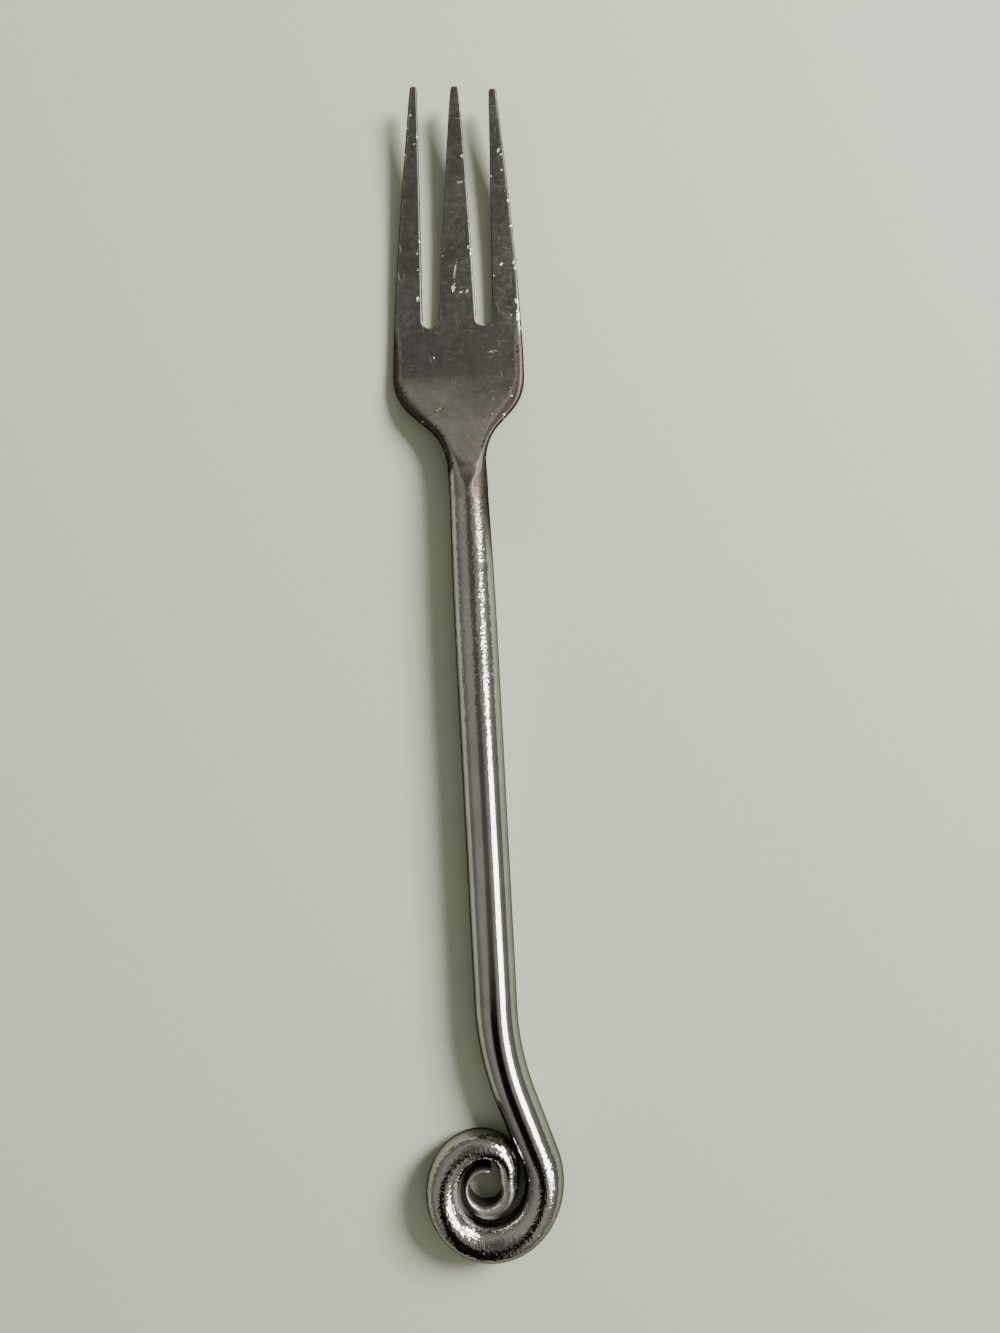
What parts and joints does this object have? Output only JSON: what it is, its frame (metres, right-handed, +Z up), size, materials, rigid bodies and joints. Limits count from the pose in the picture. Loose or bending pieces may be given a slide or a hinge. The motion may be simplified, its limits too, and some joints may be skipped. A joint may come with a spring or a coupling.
{
  "type": "dinner fork",
  "caption": "Dinner fork with a flat tined head welded to a round bar handle whose end is rolled into a flat scroll with a round eye.",
  "frame": {"origin": "on the table under the middle of the fork's outline, the fork lying on its back", "axes": "+Y along the handle from the scroll to the tines, +Z up from the table, +X to the right as the fork is seen from above with its tines away from the viewer"},
  "size_m": [0.0246, 0.202, 0.0075],
  "materials": {
    "head_steel": "tumbled, dull grey with worn edges",
    "weld_steel": "dressed flush, coarse",
    "bar_steel": "polished, with scuffs"
  },
  "bodies": {
    "root": {"fork_head": "head_steel", "neck_weld": "weld_steel", "handle_bar": "bar_steel"}
  },
  "joints": []
}
